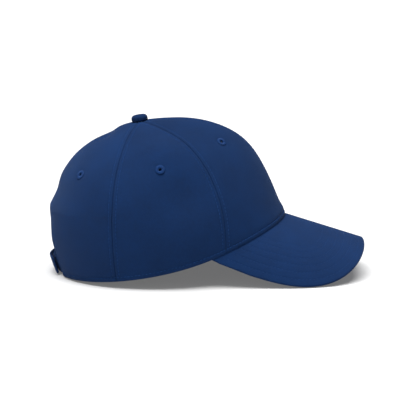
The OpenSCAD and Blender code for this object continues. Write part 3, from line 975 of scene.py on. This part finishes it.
def turned(name, section, angle, r, z, centre, normal, material):
    """Closed ring turned about a normal, from the radii and heights of its section."""
    side = unit(np.cross(np.array([0.0, 0.0, 1.0]), normal))
    ahead = np.cross(normal, side)
    c, s = np.cos(angle)[:, None], np.sin(angle)[:, None]
    points = (centre + (r * c)[..., None] * side + (r * s)[..., None] * ahead
              + z[..., None] * normal)
    run = line_steps(section)
    uvs = np.stack([c * run, s * run], -1)
    index = np.arange(r.size).reshape(r.shape)
    right = np.roll(index, -1, axis=0)
    faces = np.stack([index, right, np.roll(right, -1, axis=1), np.roll(index, -1, axis=1)], -1)
    return mesh_object(name, points.reshape(-1, 3), faces.reshape(-1, 4), uvs.reshape(-1, 2),
                       material)


STRANDS = 38  # strands of thread round an eyelet
STRAND_STEPS = 6
ROLL_STEPS = 14


def eyelet_section():
    """Section of a worked eyelet: a fat roll outside, a tube and a thin roll inside."""
    roll_r, mid = (EYELET_R - EYELET_BORE_R) / 2, (EYELET_R + EYELET_BORE_R) / 2
    top = [(mid - roll_r * math.cos(a), 0.02 + 0.8 * math.sin(a))
           for a in np.linspace(0, math.pi, ROLL_STEPS)]
    neck = [(3.5, -0.4), (2.1, -0.5), (2.1, -1.15)]
    under = [(2.35 + 1.05 * math.cos(a), -1.15 - 0.4 * math.sin(a))
             for a in np.linspace(0, math.pi, 8)]
    return np.array(top + neck + under)


def eyelets():
    section = eyelet_section()
    flat_r, flat_z = section.T
    angle = np.arange(STRANDS * STRAND_STEPS) * 2 * math.pi / (STRANDS * STRAND_STEPS)
    strand = np.abs(np.sin(angle * STRANDS / 2))[:, None]
    uneven = (0.5 * np.sin(angle * 7 + 1.0) + 0.5 * np.sin(angle * 13))[:, None]
    step = np.arange(len(section))
    proud = np.sin(math.pi * step / (ROLL_STEPS - 1)) * (step < ROLL_STEPS)
    r = flat_r + 0.09 * (strand - 0.5 + 0.4 * uneven) * (flat_r > 2.6)
    z = flat_z + (0.16 * (strand - 0.5) + 0.05 * uneven) * proud
    z = z + (0.05 * strand - 0.05) * (flat_z < -1.2)
    for kind, (turned_to, v) in EYELETS.items():
        for hand, sign in SIDES.items():
            t = turned_to * sign
            name = f"eyelet_{kind}_{hand}"
            obj = turned(name + "_thread", section, angle, r, z, skin(t, v, -0.12),
                         outward(t, v), MATERIALS["eyelet"])
            attach(obj)
            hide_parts(name)


def button():
    """Cloth pulled over the button, gathered where it turns under."""
    shoulder, crest = 3.0, 0.25
    arc = [(BUTTON_R - shoulder * (1 - math.sin(a)), BUTTON_H - crest - shoulder * (1 - math.cos(a)))
           for a in np.linspace(0.15, math.pi / 2, 14)]
    top = [(r, BUTTON_H - crest * (r / 4.3)**2) for r in np.linspace(0.02, 4.0, 12)]
    low = [(BUTTON_R, 1.2), (BUTTON_R - 0.15, 0.55), (BUTTON_R - 0.6, 0.12), (BUTTON_R - 1.3, 0.02),
           (BUTTON_R - 2.0, 0.05)]
    face = np.array(top + arc + low)
    way = unit(np.gradient(face, axis=0))
    lining = face + 0.5 * np.stack([way[:, 1], -way[:, 0]], -1)
    lining[:, 0] = np.maximum(lining[:, 0], 0.02)
    section = np.concatenate([face, lining[::-1]])
    angle = np.arange(160) * 2 * math.pi / 160
    gather = np.sin(17 * angle + 1.4 * np.sin(3 * angle)) * (0.6 + 0.4 * np.sin(5 * angle))
    side = np.clip((3.2 - section[:, 1]) / 3.2, 0, 1) * np.clip(section[:, 0] / BUTTON_R, 0, 1)
    r = section[:, 0] + 0.10 * gather[:, None] * side**2
    z = np.broadcast_to(section[:, 1], r.shape)
    normal = np.array([-math.sin(BUTTON_TILT), 0, math.cos(BUTTON_TILT)])
    obj = turned("button_twill", section, angle, r, z, APEX, normal, MATERIALS["button_cloth"])
    attach(obj)
    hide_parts("button_cover")


# ---- Visor. p is measured across the flat visor and q forward from the crown seam.

def bend(p, q, h):
    """Point of the flat visor when it is bent, at a height h above its upper face."""
    a, r = p / VISOR_R, VISOR_R + h
    drop = VISOR_R - r * np.cos(a)
    return np.stack([FRONT_X + q * math.cos(VISOR_TILT) - drop * math.sin(VISOR_TILT),
                     r * np.sin(a) + 0 * q,
                     FRONT_Z - q * math.sin(VISOR_TILT) - drop * math.cos(VISOR_TILT)], -1)


def seam_edge(t):
    x, y = plan(t)
    a = np.arcsin(y / VISOR_R)
    sag = VISOR_R * (1 - np.cos(a)) * math.sin(VISOR_TILT)
    return np.stack([a * VISOR_R, (x - FRONT_X + sag) / math.cos(VISOR_TILT)], -1)


SIDE_SHARE = 0.2  # share of the outer edge that is a straight side end
END_STEP = np.array([0.8, 5.0])  # from the hem to the corner of the visor


def outer_edge(u):
    """Outer edge of the flat visor, from 0 at the tip to 1 or -1 at a side end."""
    a = math.pi / 2 * (1 - np.minimum(1, np.abs(u) / (1 - SIDE_SHARE)))
    n = VISOR_SQUARE
    c, s = np.maximum(np.cos(a), 0), np.maximum(np.sin(a), 0)
    r = ((c / VISOR_W)**n + (s / (VISOR_L - VISOR_WIDE))**n) ** (-1 / n)
    point = np.stack([r * c, VISOR_WIDE + r * s], -1)
    end = seam_edge(np.array(VISOR_END)) + END_STEP
    back = np.maximum(0, (np.abs(u) - 1 + SIDE_SHARE) / SIDE_SHARE)[..., None]
    point = point + (end - np.array([VISOR_W, VISOR_WIDE])) * back
    return point * np.stack([np.sign(u), np.ones_like(u)], -1)


VISOR_ROWS = (6.0, 12.5, 19.0, 25.5, 32.0, 38.5)  # stitch rows, from the outer edge


def visor_relief(edge_d, seam_d):
    """Quilting of the visor's cloth: it sinks at each row and swells between them."""
    h = np.zeros_like(edge_d)
    for at in VISOR_ROWS:
        h = h + dip(edge_d, at, 0.12, 0.6)
    swell = 0.5 - 0.5 * np.cos((edge_d - VISOR_ROWS[0]) / 6.5 * 2 * math.pi)
    h = h + 0.03 * swell * ((edge_d > 2.5) & (edge_d < VISOR_ROWS[-1] + 3))
    return h - 0.3 * np.exp(-(seam_d / 1.6)**2)


EDGE_R = 1.5  # how far the cloth turns down over the board's edge


def side_end(way):
    """Straight side end of the flat visor, under the end of the front hem."""
    ends = [seam_edge(np.array(VISOR_END * way)), outer_edge(np.array([1.0 * way]))[0]]
    return np.array([ends[0] + (ends[0] - ends[1]) * 0.3, *ends])


CLOTH_START = -1.0  # the cloth starts this far behind the seam's line
EDGE_FOOT = EDGE_R + 0.08  # how deep its turned edge reaches
EDGE_IN = 0.3  # how far that edge then turns in


def visor_cloth(name, upper):
    u = -np.linspace(-1, 1, 241)
    start, end = seam_edge(u * VISOR_END), outer_edge(u)
    reach, ahead = length(end - start), unit(end - start)
    even = np.linspace(0, 1, 76)[:, None]
    edge = np.linspace(math.pi / 16, math.pi / 2, 8)[:, None]
    run = np.concatenate([CLOTH_START + (reach - CLOTH_START - EDGE_R) * even,
                          reach - EDGE_R * (1 - np.sin(edge)), (reach - EDGE_IN)[None]])
    a = np.concatenate([0 * even, edge, edge[-1:]])
    h = np.concatenate([0 * even, -EDGE_R * (1 - np.cos(edge)), [[-EDGE_FOOT]]])
    point = start[None] + ahead[None] * run[..., None]
    lining = start[None] + ahead[None] * (run - VISOR_CLOTH * np.sin(a))[..., None]
    rim = outer_edge(np.linspace(-1, 1, 401))
    seam = seam_edge(np.linspace(-VISOR_END, VISOR_END, 201))
    relief = visor_relief(distance_to(point, rim), distance_to(point, seam)) * np.cos(a)
    tuck = roll(np.minimum(distance_to(point, side_end(1)), distance_to(point, side_end(-1))), EDGE_R)
    outer_h = np.maximum(h + relief + tuck, -EDGE_FOOT)
    inner_h = h + np.minimum(relief, 0.0) * 0.6 - VISOR_CLOTH * np.cos(a)
    inner_h = np.maximum(inner_h + 0.7 * tuck, -EDGE_FOOT)
    if not upper:
        outer_h, inner_h = UNDER_FACE - outer_h, UNDER_FACE - inner_h
    outer = bend(point[..., 0], point[..., 1], outer_h)
    inner = bend(lining[..., 0], lining[..., 1], inner_h)
    if not upper:
        outer, inner, point = outer[:, ::-1], inner[:, ::-1], point[:, ::-1]
    obj = cloth(name + "_twill", [name], outer, inner, "visor_cloth", uv=point)


def visor_stitch_path(inset):
    """Flat points of a row of stitches at an even distance from the outer edge."""
    edge = outer_edge(np.linspace(-1, 1, 1200))
    way = unit(np.gradient(edge, axis=0))
    inward = np.stack([way[:, 1], -way[:, 0]], -1)
    path = edge + inward * inset
    seam = seam_edge(np.linspace(-VISOR_END, VISOR_END, 201))
    clear = distance_to(path, edge[::4]) > inset - 0.25
    ahead_of_seam = path[:, 1] > np.interp(path[:, 0], seam[:, 0], seam[:, 1]) + 1.2
    return path[clear & ahead_of_seam]


def visor_stitches():
    upper, under = [], []
    for inset in VISOR_ROWS:
        path = visor_stitch_path(inset)
        p, q = path[:, 0], path[:, 1]
        for rows, h, way in ((upper, -0.16, 1), (under, UNDER_FACE + 0.16, -1)):
            point = bend(p, q, h)
            rows.append((point, unit(bend(p, q, h + way) - point)))
    sew("visor_top_stitches", upper, look="visor_thread")
    sew("visor_under_stitches", under, look="visor_thread")


# ---- Strap

STRAP_TURN = turn(180, 0.03, 1.0)  # angle about the crown for each millimetre of strap
HOOK_SPLIT = 16.0  # y at which the middle of the hook strap meets its end


def strap_point(y, w, h):
    """Point of a strap: y across the cap, w up its width, h above the crown."""
    y, w, h = grids(y, w, h)
    t = 180 - STRAP_TURN * y
    v = rise(t, 0.03, 1.0) * (STRAP_LOW + w)
    half = ARCH_TURN / STRAP_TURN
    flare = STRAP_FLARE * np.maximum(0, 1 - (y / half)**2) * w / STRAP_W
    return crown(t, v) + outward(t, v) * (h + flare)[..., None]


def strap_normal(y, w):
    return outward(180 - STRAP_TURN * y, rise(180, 0.03, STRAP_LOW + w))


def hook_level(y):
    low = 0.25 + STRAP_T
    return low + (HOOK_FACE - low) * np.clip((STRAP_ROOT - y) / (STRAP_ROOT - LAP_Y), 0, 1)


def loop_level(y):
    share = np.clip((TURN_IN_Y - y) / (TURN_IN_Y + STRAP_ROOT), 0, 1)
    return -LAP_DEPTH - (LOOP_DEPTH - LAP_DEPTH) * share


CORNER_R = 3.5  # corners of the hook strap's free end
STRAP_EDGE = 0.55  # how round the folded edges are
STRAP_STITCH = 2.2  # from an edge to the row of stitches


def strap_span(y, tip):
    """Lowest and highest width at a place: the free end has round corners."""
    if tip is None:
        return 0 * y, STRAP_W + 0 * y
    d = np.clip(np.abs(y - tip), 0, CORNER_R)
    cut = CORNER_R - np.sqrt(np.maximum(CORNER_R**2 - (CORNER_R - d)**2, 0))
    return cut, STRAP_W - cut


def strap_piece(name, first, last, face, nodes, blend, tip=None):
    """Length of folded strap with round edges."""
    ends = np.array([0, 0.12, 0.3, 0.6, 1.0, 1.6, 2.4, 3.3])
    y = np.linspace(first, last, int(abs(last - first)) + 1)
    free = [] if tip is None else last - math.copysign(1, last - first) * ends
    y = np.array(sorted(set(np.round(np.concatenate([y, free]), 4)), reverse=True))
    low, high = strap_span(y, tip)
    edge = np.array([0, 0.1, 0.3, 0.7, 1.3, 2.0, 2.6]) / STRAP_W
    share = np.concatenate([edge, np.linspace(0.22, 0.78, 9), 1 - edge[::-1]])
    w = low[:, None] + (high - low)[:, None] * share
    yy = np.broadcast_to(y[:, None], w.shape)
    d = np.minimum(w - low[:, None], high[:, None] - w)
    if tip is not None:
        d = np.minimum(d, np.abs(yy - tip))
    soft = roll(d, STRAP_EDGE) + dip(d, STRAP_STITCH, 0.15)
    obj = cloth(name + "_twill", nodes, strap_point(yy, w, face(yy) + soft),
                strap_point(yy, w, face(yy) - STRAP_T - soft), "strap_cloth",
                uv=np.stack([yy, w], -1), blend=blend)


def strap_stitches(name, first, last, face, blend, tip=None, box=()):
    """Stitches along a strap's edges and across its ends, on both faces."""
    rows = []
    y = np.linspace(first, last, 120)
    edges = np.array([STRAP_STITCH, STRAP_W - STRAP_STITCH])
    across = [(at, np.linspace(*edges, 30)) for at in box]
    if tip is not None:
        across.insert(0, (tip, np.linspace(edges[0] + 1, edges[1] - 1, 30)))
    for depth, flip in ((-0.1, False), (-STRAP_T + 0.1, True)):
        for at, w in [(y, edge) for edge in edges] + across:
            at, w = grids(at, w)
            normals = strap_normal(at, w)
            rows.append((strap_point(at, w, face(at) + depth), -normals if flip else normals))
    sew(name, rows, blend=blend)


HOOK_BLEND = ("cap", "strap_middle", (-0.127, 0.0295, 0.009), (-0.127, 0.0245, 0.009))
TIP_BLEND = ("strap_middle", "strap_end", (-0.1334, 0.0078, 0.009), (-0.1334, 0.0028, 0.009))
LOOP_BLEND = ("cap", "loop_strap", (-0.123, -0.0281, 0.009), (-0.123, -0.0231, 0.009))


def straps():
    root = STRAP_ROOT + STRAP_BASE
    strap_piece("hook_strap", root, HOOK_SPLIT, hook_level, ("hook_strap_base", "hook_strap_middle"),
                HOOK_BLEND)
    strap_piece("hook_strap_end", HOOK_SPLIT, STRAP_TIP, hook_level, ("hook_strap_end",), TIP_BLEND,
                tip=STRAP_TIP)
    strap_piece("loop_strap", LAP_Y - 1, -root, loop_level, ("loop_strap_base", "loop_strap"),
                LOOP_BLEND)
    strap_stitches("hook_strap_stitches", root - 1.5, HOOK_SPLIT, hook_level, HOOK_BLEND,
                   box=(root - 1.5, STRAP_ROOT + 3.5))
    strap_stitches("hook_strap_end_stitches", HOOK_SPLIT, STRAP_TIP + STRAP_STITCH, hook_level,
                   TIP_BLEND, tip=STRAP_TIP + STRAP_STITCH)
    strap_stitches("loop_strap_stitches", LAP_Y - 2.5, -root + 1.5, loop_level, LOOP_BLEND,
                   box=(-root + 1.5, -STRAP_ROOT - 3.5, LAP_Y - 2.5))


TUBE_SIDES = 4


def tube_shape(path, radius):
    """Small tube along a path in one plane: points and faces."""
    path = np.asarray(path, float)
    way = unit(np.gradient(path, axis=0))
    off = radius * np.stack([-way[:, 1], way[:, 0]], -1)
    rings = [[(p[0] + o[0] * math.cos(a), radius * math.sin(a), p[1] + o[1] * math.cos(a))
              for a in np.arange(TUBE_SIDES) * 2 * math.pi / TUBE_SIDES]
             for p, o in zip(path, off)]
    return np.array(rings).reshape(-1, 3), tube_faces(len(path), TUBE_SIDES)


def scatter(shape, faces, y, w, h, way, twist):
    """Copies of a small shape on a strap. way is 1 for outward and -1 for inward."""
    base = strap_point(y, w, h)
    normal = strap_normal(y, w) * way
    side = unit(strap_point(y, w + 0.2, h) - base)
    ahead = np.cross(side, normal)
    c, s = np.cos(twist)[:, None], np.sin(twist)[:, None]
    return copies(shape, faces, base, ahead * c + side * s, side * c - ahead * s, normal)


TOUCH_BASE = 0.35  # thickness of a touch tape's woven base
TOUCH_INSET = 1.2  # from the strap's edge to the tape's edge


def touch_tape(name, first, last, face, way, fibre, radius, pitch, body):
    """Hook or loop tape: a thin woven base with rows of hooks or a pile of loops."""
    y = np.linspace(first, last, 30)
    w = np.linspace(TOUCH_INSET, STRAP_W - TOUCH_INSET, 20)
    yy, ww = np.meshgrid(y, w, indexing="ij")
    if way > 0:
        low = face - TOUCH
        outer_h, inner_h = low + TOUCH_BASE, low
    else:
        outer_h, inner_h = face, face - TOUCH_BASE
    base = cloth(name + "_base", [name], strap_point(yy, ww, outer_h),
                 strap_point(yy, ww, inner_h), name, uv=np.stack([yy, ww], -1), body=body)
    rng = np.random.default_rng(7)
    ys = np.arange(min(first, last) + 0.8, max(first, last) - 0.7, pitch)
    ws = np.arange(TOUCH_INSET + 0.7, STRAP_W - TOUCH_INSET - 0.6, pitch)
    gy, gw = (a.ravel() for a in np.meshgrid(ys, ws, indexing="ij"))
    jitter = pitch * 0.35 if way > 0 else 0.0
    gy = gy + rng.uniform(-jitter, jitter, gy.shape)
    gw = gw + rng.uniform(-jitter, jitter, gw.shape)
    twist = rng.uniform(0, math.pi, gy.shape) if way > 0 else np.zeros(gy.shape)
    points, faces = scatter(*tube_shape(fibre, radius), gy, gw,
                            outer_h if way > 0 else inner_h, way, twist)
    fibres = mesh_object(name + "_fibres", points, faces, points[:, 1:], MATERIALS[name])
    attach(fibres, body)


def touch_tapes():
    hook = [(0, 0), (0, 0.25), (0.03, 0.42), (0.14, 0.5), (0.25, 0.44), (0.28, 0.33)]
    loop = [(-0.22, 0), (-0.3, 0.22), (-0.18, 0.42), (0, 0.5), (0.18, 0.42), (0.3, 0.22), (0.22, 0)]
    touch_tape("hook_tape", STRAP_FOLD - 3.5, STRAP_TIP + 1.5, HOOK_TAPE_FACE, -1, hook, 0.07, 0.95,
               "strap_end")
    touch_tape("loop_tape", LAP_Y - 2.5, TURN_IN_Y + 1.0, LOOP_TAPE_FACE, 1, loop, 0.05, 0.8,
               "loop_strap")


# ---- Hard parts, which only get their materials

def hard_parts():
    for name, slot in (("button_shell", "steel"), ("button_pin", "steel"),
                       ("button_washer", "steel"), ("visor_board", "visor_board")):
        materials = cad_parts[name].data.materials
        materials.clear()
        materials.append(MATERIALS[slot])


# ---- Floor, light and camera

def floor():
    size = 16.0
    mesh = bpy.data.meshes.new("floor")
    mesh.from_pydata([(-size, -size, 0), (size, -size, 0), (size, size, 0), (-size, size, 0)],
                     [], [(0, 1, 2, 3)])
    made, tree, shader = new_material("glowing_floor_paper")
    tree.links.new(ramp(tree, noise(tree, 3.0), (0.54, 0.54, 0.54), (0.55, 0.55, 0.55)),
                   shader.inputs["Base Color"])
    shader.inputs["Roughness"].default_value = 1.0
    shader.inputs["Specular IOR Level"].default_value = 0.0
    # the floor glows faintly: painted light that lifts the shadow under the cap
    shader.inputs["Emission Color"].default_value = (1, 1, 1, 1)
    shader.inputs["Emission Strength"].default_value = 0.14
    mesh.materials.append(made)
    obj = add_object("floor", mesh)


def sky_light(name, towards, softness, strength):
    """Wide soft light from far above, the same all over the floor."""
    data = bpy.data.lights.new(name, "SUN")
    data.angle, data.energy = math.radians(softness), strength
    add_object(name, data).rotation_euler = Vector(towards).to_track_quat("-Z", "Y").to_euler()


def lights():
    world = bpy.data.worlds.new("studio")
    world.use_nodes = True
    background = world.node_tree.nodes["Background"]
    background.inputs["Color"].default_value = (0.97, 0.985, 1.0, 1)
    background.inputs["Strength"].default_value = 0.2
    bpy.context.scene.world = world
    sky_light("overhead", (0.08, 0.12, -1.0), 55, 6.0)
    sky_light("rear_fill", (0.6, 0.8, -0.15), 70, 0.3)
    bpy.context.scene.view_settings.view_transform = "Standard"


def camera():
    """Level view of the wearer's right side, from slightly above."""
    aim, distance, raised = Vector((-0.0053, 0, 0.062)), 1.5, math.radians(10.3)
    data = bpy.data.cameras.new("camera")
    data.sensor_width, data.lens = 36.0, 156.2
    obj = add_object("camera", data)
    obj.location = aim + distance * Vector((0, -math.cos(raised), math.sin(raised)))
    obj.rotation_euler = (aim - obj.location).to_track_quat("-Z", "Y").to_euler()
    bpy.context.scene.camera = obj


camera()
floor()
lights()
crown_panels()
seam_stitches()
hem_stitches()
arch_stitches()
buckrams()
for seam_name, (_, seam_sides) in SEAMS.items():
    for seam_side in seam_sides:
        seam_tape(seam_name, seam_side)
arch_tape()
sweatband()
eyelets()
button()
visor_cloth("visor_top_cloth", True)
visor_cloth("visor_under_cloth", False)
visor_stitches()
straps()
touch_tapes()
hard_parts()
